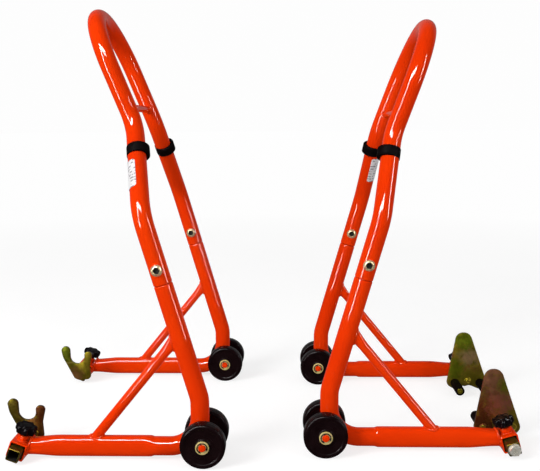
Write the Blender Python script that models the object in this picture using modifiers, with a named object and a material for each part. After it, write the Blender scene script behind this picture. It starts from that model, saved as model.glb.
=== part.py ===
"""Motorcycle paddock stands: a rear stand with spool hooks and a front stand with fork plates.

Each stand is two bent side frames of steel tube with a plug-on loop handle, two pairs of wheels,
and a clamped square slider at the end of each arm. Metres, +Z up, floor at z = 0.
The rear stand's arms point to -X and the front stand's arms to +X.
"""

import math
from dataclasses import dataclass

import bmesh
import bpy
import numpy
from mathutils import Matrix, Vector

GAP = 0.0003  # clearance between pieces that touch on the real stand

TUBE_SIDES = 12
BORE_SIDES = 10
TURN_STEP = math.radians(18)

# Side frame, in the stand's own plane: x from the wheel axis along the arm, z up.
TUBE_R = 0.016
TUBE_WALL = 0.0019
ARM_Z = 0.0225
BEND_X = 0.0077  # the short vertical stretch above the bend
BEND_TOP_Z = 0.106
BEND_R = 0.052
LEAN = 0.289  # the upright's run along x for each metre of height
SEAM_Z = 0.303
TOP_BEND_R = 0.080
# Pressed arm: station along x, half height, half width.
ARM_SECTION = (
    (0.088, TUBE_R, TUBE_R),
    (0.093, 0.0177, 0.0128),
    (0.258, 0.0177, 0.0128),
    (0.298, 0.0138, 0.0150),
    (0.318, 0.0138, 0.0150),
)

# Diagonal brace
BRACE_R = 0.0085
BRACE_WALL = 0.0016
BRACE_FOOT = (0.199, ARM_Z)
BRACE_HEAD = (0.0455, 0.2105)
PINCH_LENGTH = 0.034
PINCH_WIDEN = 1.30
PINCH_FLATTEN = 0.62

# Plug joint of the handle
SPIGOT_R = 0.0133
SPIGOT_WALL = 0.0024
SPIGOT_HALF = 0.055
BOLT_Z = 0.329
BOLT_R = 0.005
BOLT_HEAD_R = 0.010
BOLT_HEAD_HEIGHT = 0.0055
NUT_R = 0.0092
NUT_HEIGHT = 0.008

# Handle fittings
BAR_R = 0.0065
BAND_INNER_R = TUBE_R + GAP
BAND_OUTER_R = 0.0198
BAND_SHIFT = 0.0030
BAND_HALF = 0.0095
LABEL_LENGTH = 0.055
LABEL_ARC = math.radians(95)
LABEL_TURN = math.radians(48)  # from the near side towards the arm side

# Wheels
WHEEL_R = 0.038
HUB_Z = WHEEL_R
WHEEL_INNER = 0.0195  # face of the wheel from the side frame's plane
WHEEL_WIDTH = 0.0245
PIN_R = 0.006
PIN_HALF = 0.0486
SLEEVE_R = 0.010
SLEEVE_HALF = 0.019
WASHER_R = 0.0115
WASHER_WIDTH = 0.0015
CLIP_R = 0.0092
CLIP_WIDTH = 0.0011

# Socket, slider and clamp
SOCKET_X = 0.318
SOCKET_SIDE = 0.030
SOCKET_BORE = 0.025
SOCKET_OUTBOARD = 0.0195  # reach of the socket on the outer side of the frame
SOCKET_INBOARD = 0.026
SLIDER_SIDE = 0.0215
SLIDER_WALL = 0.0020
SLIDER_DROP = 0.5 * (SOCKET_BORE - SLIDER_SIDE) - GAP
STUD_R = 0.004
CLAMP_NUT_R = 0.0104
CLAMP_NUT_HEIGHT = 0.009
KNOB_R = 0.0185
KNOB_LOBES = 7
KNOB_LOBE_DEPTH = 0.0022
KNOB_HEIGHT = 0.0135
KNOB_BASE = 0.0285  # underside of the star above the socket's middle
KNOB_NECK_R = 0.0085
KNOB_NECK = 0.0035

# Lifting plates
PLATE_Y = 0.058  # middle of the hook plate, inboard of the side frame's plane
PLATE_THICK = 0.006
FORK_PLATE_Y = 0.065
PIVOT_R = 0.006
PIVOT_HEAD_R = 0.0108
PIVOT_HEAD_HEIGHT = 0.0075
PIVOT_CAP_R = 0.0080
PIVOT_CAP_WIDTH = 0.0030
FORK_PIN_R = 0.00575
FORK_PIN_LENGTH = 0.055
FORK_SLEEVE_R = 0.0094
FORK_PIN_PLACES = {"back": (-0.0278, -0.0025), "tip": (0.0252, -0.0020)}  # from the pivot
# Outlines from the slider's middle: x along the arm, z up, corner radius.
HOOK_OUTLINE = (
    (0.0202, 0.0655, 0.0092),
    (0.0405, 0.0655, 0.0090),
    (0.0362, 0.0420, 0.0300),
    (0.0100, -0.0105, 0.0160),
    (-0.0240, -0.0080, 0.0085),
    (-0.0222, 0.0230, 0.0200),
    (-0.0295, 0.0535, 0.0078),
    (-0.0112, 0.0535, 0.0070),
    (-0.0115, 0.0273, 0.0152),
    (0.0195, 0.0273, 0.0152),
)
FORK_OUTLINE = (
    (0.0018, 0.1067, 0.0160),
    (0.0425, -0.0085, 0.0130),
    (0.0240, -0.0165, 0.0100),
    (0.0000, -0.0060, 0.0250),
    (-0.0290, -0.0165, 0.0100),
    (-0.0455, -0.0070, 0.0120),
    (-0.0255, 0.1067, 0.0160),
)


@dataclass(frozen=True)
class Stand:
    """What differs between the two stands."""

    name: str
    sign: int  # +1 where the arms point to +X
    hub_x: float  # wheel axis from the middle of the set
    middle_y: float
    half_width: float  # from the middle to a side frame's plane
    lower_bend_z: float
    upper_bend_z: float
    jog_lean: float
    loop_lean: float
    loop_half_width: float
    loop_top_z: float
    bar_z: float
    band_share: float  # place of the bumper band between the lower and the upper bend
    label_drop: float  # from the middle of the band to the top of the label
    socket_tilt: float
    slider_outboard: float

    @property
    def pivot_z(self):
        """Height of the socket's middle with its lowest edge on the floor."""
        return SOCKET_SIDE * math.sqrt(0.5) * math.cos(math.pi / 4 - self.socket_tilt)

    def at(self, x, y, z):
        """A world point from the stand's own x, y and z."""
        return Vector((self.sign * (self.hub_x + x), self.middle_y + y, z))

    def side_y(self, side):
        """The y of a side frame's plane, as a person at the handle sees left and right."""
        return self.half_width * self.sign * (1 if side == "left" else -1)

    def socket_point(self, along, y, up):
        """A world point in the tilted frame of the socket."""
        tilt = self.socket_tilt
        x = SOCKET_X + along * math.cos(tilt) - up * math.sin(tilt)
        z = self.pivot_z + along * math.sin(tilt) + up * math.cos(tilt)
        return self.at(x, y, z)


REAR = Stand(
    name="rear",
    sign=-1,
    hub_x=0.1027,
    middle_y=0.0,
    half_width=0.221,
    lower_bend_z=0.419,
    upper_bend_z=0.564,
    jog_lean=0.195,
    loop_lean=0.403,
    loop_half_width=0.106,
    loop_top_z=0.7586,
    bar_z=0.594,
    band_share=0.68,
    label_drop=0.0245,
    socket_tilt=math.radians(21),
    slider_outboard=0.035,
)
FRONT = Stand(
    name="front",
    sign=1,
    hub_x=0.1023,
    middle_y=0.010,
    half_width=0.188,
    lower_bend_z=0.406,
    upper_bend_z=0.545,
    jog_lean=0.176,
    loop_lean=0.372,
    loop_half_width=0.121,
    loop_top_z=0.7366,
    bar_z=0.582,
    band_share=0.76,
    label_drop=0.015,
    socket_tilt=math.radians(16),
    slider_outboard=0.040,
)
SIDES = ("left", "right")


# ---------------------------------------------------------------- scene and materials


def clear_scene():
    for obj in list(bpy.data.objects):
        bpy.data.objects.remove(obj, do_unlink=True)
    for name in ("paddock_stands", "cutters"):
        collection = bpy.data.collections.new(name)
        bpy.context.scene.collection.children.link(collection)


def material(name, colour, roughness, metallic):
    found = bpy.data.materials.get(name)
    if found:
        return found
    made = bpy.data.materials.new(name)
    made.use_nodes = True
    shader = made.node_tree.nodes["Principled BSDF"]
    shader.inputs["Base Color"].default_value = (*colour, 1.0)
    shader.inputs["Roughness"].default_value = roughness
    shader.inputs["Metallic"].default_value = metallic
    made.diffuse_color = (*colour, 1.0)
    return made


def orange_paint():
    return material("orange_powder_coat", (0.80, 0.085, 0.010), 0.28, 0.0)


def zinc():
    return material("yellow_zinc", (0.42, 0.36, 0.11), 0.34, 1.0)


def black_plastic():
    return material("black_plastic", (0.012, 0.011, 0.012), 0.42, 0.0)


def black_rubber():
    return material("black_rubber", (0.016, 0.015, 0.015), 0.75, 0.0)


def dark_steel():
    return material("dark_steel", (0.06, 0.06, 0.06), 0.45, 1.0)


def white_paper():
    return material("white_paper", (0.82, 0.82, 0.80), 0.6, 0.0)


def finish(obj, name, look):
    """Names a sub-part, gives it its material and puts it with the parts."""
    obj.name = name
    obj.data.materials.clear()
    obj.data.materials.append(look)
    for collection in list(obj.users_collection):
        collection.objects.unlink(obj)
    bpy.data.collections["paddock_stands"].objects.link(obj)
    return obj


# ---------------------------------------------------------------- shape helpers


def mesh_object(mesh, place=Matrix.Identity(4)):
    obj = bpy.data.objects.new(mesh.name, mesh)
    bpy.context.scene.collection.objects.link(obj)
    obj.matrix_world = place
    return obj


def evaluated_mesh(obj):
    bpy.context.view_layer.update()
    graph = bpy.context.evaluated_depsgraph_get()
    return bpy.data.meshes.new_from_object(obj.evaluated_get(graph))


def welded_mesh(guide):
    """A curve made a mesh object with its caps welded on, in the curve's place."""
    mesh = evaluated_mesh(guide)
    place = guide.matrix_world.copy()
    bpy.data.objects.remove(guide, do_unlink=True)
    shape = bmesh.new()
    shape.from_mesh(mesh)
    bmesh.ops.remove_doubles(shape, verts=shape.verts, dist=0.00001)
    shape.to_mesh(mesh)
    shape.free()
    mesh.shade_smooth()
    mesh.set_sharp_from_angle(angle=math.radians(40))
    return mesh_object(mesh, place)


def boolean(obj, other, operation):
    """Cuts or joins with another object, which becomes a hidden helper."""
    modifier = obj.modifiers.new(operation.lower(), "BOOLEAN")
    modifier.operation = operation
    modifier.object = other
    other.hide_render = True
    other.display_type = "WIRE"
    if other.name not in bpy.data.collections["cutters"].objects:
        for collection in list(other.users_collection):
            collection.objects.unlink(other)
        bpy.data.collections["cutters"].objects.link(other)


def along(start, end):
    """A frame at start whose Z axis points to end."""
    turn = (end - start).to_track_quat("Z", "Y").to_matrix().to_4x4()
    return Matrix.Translation(start) @ turn


def rod(start, end, radius, sides):
    shape = bmesh.new()
    bmesh.ops.create_cone(
        shape, cap_ends=True, segments=sides, radius1=radius, radius2=radius, depth=(end - start).length
    )
    bmesh.ops.translate(shape, verts=shape.verts, vec=(0, 0, (end - start).length / 2))
    mesh = bpy.data.meshes.new("rod")
    shape.to_mesh(mesh)
    shape.free()
    mesh.shade_smooth()
    mesh.set_sharp_from_angle(angle=math.radians(35))
    return mesh_object(mesh, along(start, end))


def box(size, place):
    shape = bmesh.new()
    bmesh.ops.create_cube(shape, size=1.0)
    bmesh.ops.scale(shape, verts=shape.verts, vec=size)
    mesh = bpy.data.meshes.new("box")
    shape.to_mesh(mesh)
    shape.free()
    return mesh_object(mesh, place)


def turned(profile, start, end, steps, closed=False):
    """A profile of (radius, height) turned about the line from start towards end."""
    mesh = bpy.data.meshes.new("turned")
    verts = [(radius, 0.0, height) for radius, height in profile]
    edges = [(i, i + 1) for i in range(len(verts) - 1)]
    if closed:
        edges.append((len(verts) - 1, 0))
    mesh.from_pydata(verts, edges, [])
    obj = mesh_object(mesh, along(start, end))
    screw = obj.modifiers.new("screw", "SCREW")
    screw.steps = steps
    screw.render_steps = steps
    screw.use_merge_vertices = True
    screw.merge_threshold = 0.00001
    screw.use_smooth_shade = True
    return obj


def ring(start, end, outer, inner, steps):
    length = (end - start).length
    profile = ((outer, length), (outer, 0.0), (inner, 0.0), (inner, length))
    return turned(profile, start, end, steps, closed=True)


def filleted(points, radii):
    """Straight runs between points with an arc of the given radius at each inner point."""
    route = [points[0]]
    for before, corner, after, radius in zip(points, points[1:], points[2:], radii):
        back = (before - corner).normalized()
        ahead = (after - corner).normalized()
        half = back.angle(ahead) / 2
        centre = corner + (back + ahead).normalized() * radius / math.sin(half)
        first = corner + back * radius / math.tan(half) - centre
        last = corner + ahead * radius / math.tan(half) - centre
        sweep = first.angle(last)
        count = max(2, math.ceil(sweep / TURN_STEP))
        axis = first.cross(last).normalized()
        for step in range(count + 1):
            route.append(centre + Matrix.Rotation(sweep * step / count, 3, axis) @ first)
    route.append(points[-1])
    return route


def tube_solid(route, radius, sides):
    """A closed round bar along a route, as a mesh object."""
    curve = bpy.data.curves.new("route", "CURVE")
    curve.dimensions = "3D"
    curve.bevel_depth = radius
    curve.bevel_resolution = (sides - 4) // 2
    curve.use_fill_caps = True
    spline = curve.splines.new("POLY")
    spline.points.add(len(route) - 1)
    for point, place in zip(spline.points, route):
        point.co = (*place, 1.0)
    return welded_mesh(mesh_object(curve))


def longer(route, reach):
    """The same route, run on past both ends."""
    first = route[0] + (route[0] - route[1]).normalized() * reach
    last = route[-1] + (route[-1] - route[-2]).normalized() * reach
    return [first, *route[1:-1], last]


def plate(outline, circles, thickness, centre):
    """A flat plate in the XZ plane with rounded corners and round holes."""
    curve = bpy.data.curves.new("plate", "CURVE")
    curve.dimensions = "2D"
    curve.fill_mode = "BOTH"
    curve.extrude = thickness / 2
    corners = [Vector((x, z, 0.0)) for x, z, _ in outline]
    loop = [corners[-1], *corners, corners[0]]
    route = filleted(loop, [corner[2] for corner in outline])[1:-1]
    rims = [[(point.x, point.y) for point in route]]
    for x, z, radius in circles:
        angles = [math.tau * step / 12 for step in range(12)]
        rims.append([(x + radius * math.cos(a), z + radius * math.sin(a)) for a in angles])
    for rim in rims:
        spline = curve.splines.new("POLY")
        spline.points.add(len(rim) - 1)
        for point, (x, z) in zip(spline.points, rim):
            point.co = (x, z, 0.0, 1.0)
        spline.use_cyclic_u = True
    place = Matrix.Translation(centre) @ Matrix.Rotation(math.pi / 2, 4, "X")
    return mesh_object(curve, place)


# ---------------------------------------------------------------- routes of the tubes


def upright_x(z):
    return BEND_X + LEAN * (z - BEND_TOP_Z)


def side_route(stand, side):
    y = stand.side_y(side)
    corners = [
        stand.at(upright_x(SEAM_Z), y, SEAM_Z),
        stand.at(BEND_X, y, BEND_TOP_Z),
        stand.at(BEND_X, y, ARM_Z),
        stand.at(ARM_SECTION[0][0], y, ARM_Z),
    ]
    arm = [stand.at(x, y, ARM_Z) for x, _, _ in ARM_SECTION[1:]]
    return filleted(corners, (0.060, BEND_R)) + arm


def press_arm(stand, side, obj, radius):
    """Presses the round bar of the arm to its oval section."""
    stations, heights, widths = zip(*ARM_SECTION)
    margin = TUBE_R - radius
    middle_y = stand.middle_y + stand.side_y(side)
    for vertex in obj.data.vertices:
        x = stand.sign * vertex.co.x - stand.hub_x
        if x < stations[0] or vertex.co.z > ARM_Z + 2 * TUBE_R:
            continue
        tall = (numpy.interp(x, stations, heights) - margin) / radius
        wide = (numpy.interp(x, stations, widths) - margin) / radius
        vertex.co.z = ARM_Z + (vertex.co.z - ARM_Z) * tall
        vertex.co.y = middle_y + (vertex.co.y - middle_y) * wide


def side_bar(stand, side, radius, sides, reach=0.0):
    route = side_route(stand, side)
    if reach:
        route = longer(route, reach)
    obj = tube_solid(route, radius, sides)
    press_arm(stand, side, obj, radius)
    return obj


def handle_corners(stand):
    """The left half of the handle's corner points, from the seam up."""
    lower, upper, top = stand.lower_bend_z, stand.upper_bend_z, stand.loop_top_z
    lower_x = upright_x(lower)
    upper_x = lower_x + stand.jog_lean * (upper - lower)
    top_x = upper_x + stand.loop_lean * (top - upper)
    return (
        (upright_x(SEAM_Z), stand.half_width, SEAM_Z),
        (lower_x, stand.half_width, lower),
        (upper_x, stand.loop_half_width, upper),
        (top_x, stand.loop_half_width, top),
    )


def handle_route(stand):
    half = handle_corners(stand)
    left = [stand.at(x, y, z) for x, y, z in half]
    right = [stand.at(x, -y, z) for x, y, z in reversed(half)]
    loop_r = stand.loop_half_width - 0.002
    radii = (TOP_BEND_R, TOP_BEND_R, loop_r, loop_r, TOP_BEND_R, TOP_BEND_R)
    return filleted(left + right, radii)


def jog_axis(stand, side):
    """The two ends of the slanting stretch of a handle leg."""
    corners = handle_corners(stand)
    sign = math.copysign(1.0, stand.side_y(side))
    return [stand.at(x, sign * y, z) for x, y, z in corners[1:3]]


# ---------------------------------------------------------------- welded frame


def arm_end_cutter(stand, side):
    """Everything beyond the face of the socket that the arm's end is welded to."""
    reach = 0.060
    face = -SOCKET_SIDE / 2 - GAP
    centre = stand.socket_point(face + reach / 2, stand.side_y(side), 0.0)
    turn = Matrix.Rotation(-stand.sign * stand.socket_tilt, 4, "Y")
    return box((reach, reach, 2 * reach), Matrix.Translation(centre) @ turn)


def side_tube(stand, side):
    """The bent tube with the axle sleeve that is welded outside its bend."""
    y = stand.side_y(side)
    obj = side_bar(stand, side, TUBE_R, TUBE_SIDES)
    boolean(obj, side_bar(stand, side, TUBE_R - TUBE_WALL, BORE_SIDES, reach=0.01), "DIFFERENCE")
    sleeve = rod(hub_point(stand, y - SLEEVE_HALF), hub_point(stand, y + SLEEVE_HALF), SLEEVE_R, 16)
    boolean(obj, sleeve, "UNION")
    bore = rod(hub_point(stand, y - 0.03), hub_point(stand, y + 0.03), PIN_R + GAP, 12)
    boolean(obj, bore, "DIFFERENCE")
    boolean(obj, arm_end_cutter(stand, side), "DIFFERENCE")
    return finish(obj, f"{stand.name}_side_tube_{side}", orange_paint())


def brace(stand, side):
    y = stand.side_y(side)
    foot = stand.at(BRACE_FOOT[0], y, BRACE_FOOT[1])
    head = stand.at(BRACE_HEAD[0], y, BRACE_HEAD[1])
    run = (head - foot).normalized()
    across = run.cross(Vector((0, 1, 0)))
    pinch = [head - run * PINCH_LENGTH * share for share in (1.3, 1.0, 0.5)]
    obj = tube_solid([foot, *pinch, head], BRACE_R, TUBE_SIDES)
    for vertex in obj.data.vertices:
        left_over = (head - vertex.co).dot(run)
        share = max(0.0, 1.0 - left_over / PINCH_LENGTH)
        middle = head - run * left_over
        offset = vertex.co - middle
        wide = offset.dot(across) * (1 + (PINCH_WIDEN - 1) * share)
        thick = offset.y * (1 - (1 - PINCH_FLATTEN) * share)
        vertex.co = middle + across * wide + Vector((0, thick, 0))
    bore = rod(foot - run * 0.01, head - run * PINCH_LENGTH * 1.2, BRACE_R - BRACE_WALL, 12)
    boolean(obj, bore, "DIFFERENCE")
    boolean(obj, side_bar(stand, side, TUBE_R + GAP, TUBE_SIDES), "DIFFERENCE")
    return finish(obj, f"{stand.name}_brace_{side}", orange_paint())


def bolt_hole(stand):
    reach = stand.half_width + 0.04
    x = upright_x(BOLT_Z)
    return rod(stand.at(x, -reach, BOLT_Z), stand.at(x, reach, BOLT_Z), BOLT_R + GAP, 12)


def handle_tube(stand):
    route = handle_route(stand)
    rise = (route[1] - route[0]).normalized() * GAP
    route[0] += rise
    route[-1] += (route[-2] - route[-1]).normalized() * GAP
    obj = tube_solid(route, TUBE_R, TUBE_SIDES)
    boolean(obj, tube_solid(longer(route, 0.01), TUBE_R - TUBE_WALL, BORE_SIDES), "DIFFERENCE")
    boolean(obj, bolt_hole(stand), "DIFFERENCE")
    return finish(obj, f"{stand.name}_handle_tube", orange_paint())


def handle_cross_bar(stand):
    corners = handle_corners(stand)
    x = corners[2][0] + stand.loop_lean * (stand.bar_z - stand.upper_bend_z)
    y = stand.loop_half_width
    obj = rod(stand.at(x, -y, stand.bar_z), stand.at(x, y, stand.bar_z), BAR_R, 12)
    boolean(obj, tube_solid(handle_route(stand), TUBE_R + GAP, TUBE_SIDES), "DIFFERENCE")
    return finish(obj, f"{stand.name}_handle_cross_bar", orange_paint())


def spigot(stand, side):
    run = Vector((stand.sign * LEAN, 0.0, 1.0)).normalized() * SPIGOT_HALF
    seam = stand.at(upright_x(SEAM_Z), stand.side_y(side), SEAM_Z)
    obj = ring(seam - run, seam + run, SPIGOT_R, SPIGOT_R - SPIGOT_WALL, 12)
    boolean(obj, bolt_hole(stand), "DIFFERENCE")
    return finish(obj, f"{stand.name}_spigot_{side}", dark_steel())


def joint_bolt(stand, side):
    """A domed bolt whose head faces the -Y side, with a round key recess and its nut tightened on."""
    face = TUBE_R + GAP
    tail = 2 * face + NUT_HEIGHT + 0.002
    head = BOLT_HEAD_HEIGHT
    profile = (
        (0.0, head * 0.4),
        (0.0033, head * 0.4),
        (0.0033, head),
        (0.0060, head * 0.94),
        (0.0085, head * 0.66),
        (BOLT_HEAD_R, head * 0.2),
        (BOLT_HEAD_R, 0.0),
        (BOLT_R, 0.0),
        (BOLT_R, -tail),
        (0.0, -tail),
    )
    x = upright_x(BOLT_Z)
    y = stand.side_y(side)
    obj = turned(profile, stand.at(x, y - face, BOLT_Z), stand.at(x, y - 2 * face, BOLT_Z), 12)
    nut = rod(stand.at(x, y + face, BOLT_Z), stand.at(x, y + face + NUT_HEIGHT, BOLT_Z), NUT_R, 6)
    boolean(obj, nut, "UNION")
    return finish(obj, f"{stand.name}_joint_bolt_{side}", zinc())


def bumper_band(stand, side):
    lower, upper = jog_axis(stand, side)
    middle = lower.lerp(upper, stand.band_share)
    run = (upper - lower).normalized()
    back = Vector((-stand.sign, 0, 0))
    back = (back - run * back.dot(run)).normalized()
    shift = back * BAND_SHIFT
    start = middle - run * BAND_HALF
    end = middle + run * BAND_HALF
    obj = rod(start + shift, end + shift, BAND_OUTER_R, 20)
    boolean(obj, rod(start - run * 0.01, end + run * 0.01, BAND_INNER_R, 20), "DIFFERENCE")
    return finish(obj, f"{stand.name}_bumper_band_{side}", black_rubber())


def label(stand):
    """A blank paper label wrapped on one leg, on the near and arm side of it."""
    lower, upper = jog_axis(stand, "left")
    run = (upper - lower).normalized()
    end = lower.lerp(upper, stand.band_share) - run * stand.label_drop
    start = end - run * LABEL_LENGTH
    near = Vector((0, -1, 0))
    near = (near - run * near.dot(run)).normalized()
    arm_side = near.cross(run)
    if arm_side.x * stand.sign < 0:
        arm_side = -arm_side
    columns = 8
    verts = []
    for foot in (start, end):
        for column in range(columns + 1):
            angle = LABEL_TURN + LABEL_ARC * (column / columns - 0.5)
            outward = near * math.cos(angle) + arm_side * math.sin(angle)
            verts.append(foot + outward * (TUBE_R + GAP))
    faces = [(i, i + 1, i + columns + 2, i + columns + 1) for i in range(columns)]
    mesh = bpy.data.meshes.new("label")
    mesh.from_pydata(verts, [], faces)
    middle = (start + end) / 2
    if mesh.polygons[columns // 2].normal.dot(Vector(verts[columns // 2]) - middle) < 0:
        mesh.flip_normals()
    obj = mesh_object(mesh)
    shell = obj.modifiers.new("paper", "SOLIDIFY")
    shell.thickness = 0.0003
    shell.offset = 1.0
    return finish(obj, f"{stand.name}_label", white_paper())


# ---------------------------------------------------------------- wheels


def hub_point(stand, y):
    return stand.at(0.0, y, HUB_Z)


def axle_pin(stand, side):
    """The pin that both wheels of a side turn on, with a washer and a circlip at each end."""
    washer = WHEEL_INNER + WHEEL_WIDTH + GAP
    clip = washer + WASHER_WIDTH
    clip_end = clip + CLIP_WIDTH
    half = (
        (0.0, PIN_HALF),
        (PIN_R, PIN_HALF),
        (PIN_R, clip_end),
        (CLIP_R, clip_end),
        (CLIP_R, clip),
        (WASHER_R, clip),
        (WASHER_R, washer),
        (PIN_R, washer),
    )
    profile = half + tuple((radius, -height) for radius, height in reversed(half))
    y = stand.side_y(side)
    obj = turned(profile, hub_point(stand, y), hub_point(stand, y + 0.01), 12)
    return finish(obj, f"{stand.name}_axle_pin_{side}", orange_paint())


def wheel(stand, side, place):
    outward = math.copysign(1.0, stand.side_y(side))
    direction = outward if place == "outer" else -outward
    width = WHEEL_WIDTH
    recess = 0.0011
    corner = 0.0030
    bore = PIN_R + GAP
    profile = (
        (bore, width),
        (0.0135, width),
        (0.0145, width - recess),
        (0.0300, width - recess),
        (0.0312, width),
        (WHEEL_R - corner, width),
        (WHEEL_R, width - corner),
        (WHEEL_R, corner),
        (WHEEL_R - corner, 0.0),
        (bore, 0.0),
    )
    y = stand.side_y(side) + direction * WHEEL_INNER
    start, end = hub_point(stand, y), hub_point(stand, y + direction)
    obj = turned(profile, start, end, 18, closed=True)
    return finish(obj, f"{stand.name}_wheel_{side}_{place}", black_plastic())


# ---------------------------------------------------------------- sockets, sliders, knobs


def tilted(stand, y, up=0.0):
    """The frame of a socket: its middle in x and z, at y, turned about the Y axis."""
    centre = stand.socket_point(0.0, y, up)
    return Matrix.Translation(centre) @ Matrix.Rotation(-stand.sign * stand.socket_tilt, 4, "Y")


def span(stand, side, outboard, inboard):
    """Middle and length along y of a piece that reaches out and in from a side frame's plane."""
    outward = math.copysign(1.0, stand.side_y(side))
    middle = stand.side_y(side) + outward * (outboard - inboard) / 2
    return middle, outboard + inboard


def socket_block(stand, side, width, longer_by):
    middle, length = span(stand, side, SOCKET_OUTBOARD, SOCKET_INBOARD)
    return box((width, length + longer_by, width), tilted(stand, middle))


def socket(stand, side):
    """The square tube across the arm's end, with the clamp nut that is welded on it."""
    y = stand.side_y(side)
    face = SOCKET_SIDE / 2
    obj = socket_block(stand, side, SOCKET_SIDE, 0.0)
    nut_ends = stand.socket_point(0, y, face - 0.001), stand.socket_point(0, y, face + CLAMP_NUT_HEIGHT)
    boolean(obj, rod(*nut_ends, CLAMP_NUT_R, 6), "UNION")
    boolean(obj, socket_block(stand, side, SOCKET_BORE, 0.02), "DIFFERENCE")
    hole_ends = stand.socket_point(0, y, face - 0.008), stand.socket_point(0, y, face + 0.02)
    boolean(obj, rod(*hole_ends, STUD_R + GAP, 12), "DIFFERENCE")
    return finish(obj, f"{stand.name}_socket_{side}", orange_paint())


def slider(stand, side, inboard):
    middle, length = span(stand, side, stand.slider_outboard, inboard)
    place = tilted(stand, middle, -SLIDER_DROP)
    obj = box((SLIDER_SIDE, length, SLIDER_SIDE), place)
    inner = SLIDER_SIDE - 2 * SLIDER_WALL
    boolean(obj, box((inner, length + 0.02, inner), place), "DIFFERENCE")
    return finish(obj, f"{stand.name}_slider_{side}", zinc())


def star_outline():
    points = []
    count = KNOB_LOBES * 6
    for step in range(count):
        angle = math.tau * step / count
        radius = KNOB_R - KNOB_LOBE_DEPTH * (1 - math.cos(KNOB_LOBES * angle)) / 2 * 1.6
        points.append((radius * math.cos(angle), radius * math.sin(angle)))
    return points


def knob(stand, side):
    """A star knob, its neck and its threaded stud, with its origin on the screw's axis."""
    y = stand.side_y(side)
    base = stand.socket_point(0, y, KNOB_BASE)
    top = stand.socket_point(0, y, KNOB_BASE + KNOB_HEIGHT)
    curve = bpy.data.curves.new("star", "CURVE")
    curve.dimensions = "2D"
    curve.fill_mode = "BOTH"
    curve.extrude = KNOB_HEIGHT / 2
    spline = curve.splines.new("POLY")
    points = star_outline()
    spline.points.add(len(points) - 1)
    for point, (across, deep) in zip(spline.points, points):
        point.co = (across, deep, 0.0, 1.0)
    spline.use_cyclic_u = True
    obj = welded_mesh(mesh_object(curve, along((base + top) / 2, top)))
    tip = SLIDER_SIDE / 2 - SLIDER_DROP + GAP
    neck_low = stand.socket_point(0, y, KNOB_BASE - KNOB_NECK)
    inside = stand.socket_point(0, y, KNOB_BASE + KNOB_HEIGHT / 2)
    boolean(obj, rod(neck_low, inside, KNOB_NECK_R, 16), "UNION")
    boolean(obj, rod(stand.socket_point(0, y, tip), inside, STUD_R, 12), "UNION")
    return finish(obj, f"{stand.name}_knob_{side}", black_plastic())


# ---------------------------------------------------------------- lifting plates


def slider_middle(stand, side, inboard):
    """A point on the slider's axis, inboard of the side frame's plane."""
    inward = -math.copysign(1.0, stand.side_y(side))
    return stand.socket_point(0, stand.side_y(side) + inward * inboard, -SLIDER_DROP)


def facing_arm(stand, outline):
    return [(stand.sign * x, z, radius) for x, z, radius in outline]


def hook(stand, side):
    centre = slider_middle(stand, side, PLATE_Y)
    obj = plate(facing_arm(stand, HOOK_OUTLINE), (), PLATE_THICK, centre)
    return finish(obj, f"{stand.name}_hook_{side}", zinc())


def pin_point(stand, side, place, inboard):
    return slider_middle(stand, side, inboard) + Vector((stand.sign * place[0], 0, place[1]))


def fork_plate(stand, side):
    """The plate that a fork leg stands on, with the two pins that are welded in it."""
    centre = slider_middle(stand, side, FORK_PLATE_Y)
    guide = plate(facing_arm(stand, FORK_OUTLINE), ((0.0, 0.0, PIVOT_R + GAP),), PLATE_THICK, centre)
    obj = welded_mesh(guide)
    outer = FORK_PLATE_Y - PLATE_THICK / 2 - 0.001
    inner = FORK_PLATE_Y + PLATE_THICK / 2 + FORK_PIN_LENGTH
    for place in FORK_PIN_PLACES.values():
        ends = pin_point(stand, side, place, outer), pin_point(stand, side, place, inner)
        boolean(obj, rod(*ends, FORK_PIN_R, 12), "UNION")
    return finish(obj, f"{stand.name}_fork_plate_{side}", zinc())


def fork_sleeve(stand, side, end_name):
    outer = FORK_PLATE_Y + PLATE_THICK / 2 + GAP
    inner = FORK_PLATE_Y + PLATE_THICK / 2 + FORK_PIN_LENGTH - 0.0004
    place = FORK_PIN_PLACES[end_name]
    ends = pin_point(stand, side, place, outer), pin_point(stand, side, place, inner)
    obj = ring(*ends, FORK_SLEEVE_R, FORK_PIN_R + GAP, 16)
    return finish(obj, f"{stand.name}_fork_sleeve_{side}_{end_name}", black_rubber())


def pivot_bolt(stand, side):
    """The bolt through the slider, its hex head outside and its tail past the fork plate."""
    seat = -stand.slider_outboard - GAP
    tail = FORK_PLATE_Y + PLATE_THICK / 2 + PIVOT_CAP_WIDTH
    head = rod(
        slider_middle(stand, side, seat - PIVOT_HEAD_HEIGHT),
        slider_middle(stand, side, seat),
        PIVOT_HEAD_R,
        6,
    )
    shank = rod(
        slider_middle(stand, side, seat - PIVOT_HEAD_HEIGHT / 2),
        slider_middle(stand, side, tail),
        PIVOT_R,
        16,
    )
    cap_start = FORK_PLATE_Y + PLATE_THICK / 2 + GAP
    cap = rod(slider_middle(stand, side, cap_start), slider_middle(stand, side, tail), PIVOT_CAP_R, 16)
    boolean(head, shank, "UNION")
    boolean(head, cap, "UNION")
    return finish(head, f"{stand.name}_pivot_bolt_{side}", zinc())


# ---------------------------------------------------------------- assembly


def build_stand(stand, slider_reach):
    handle_tube(stand)
    handle_cross_bar(stand)
    label(stand)
    for side in SIDES:
        bumper_band(stand, side)
        side_tube(stand, side)
        brace(stand, side)
        spigot(stand, side)
        joint_bolt(stand, side)
        axle_pin(stand, side)
        wheel(stand, side, "outer")
        wheel(stand, side, "inner")
        socket(stand, side)
        slider(stand, side, slider_reach)
        knob(stand, side)


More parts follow.
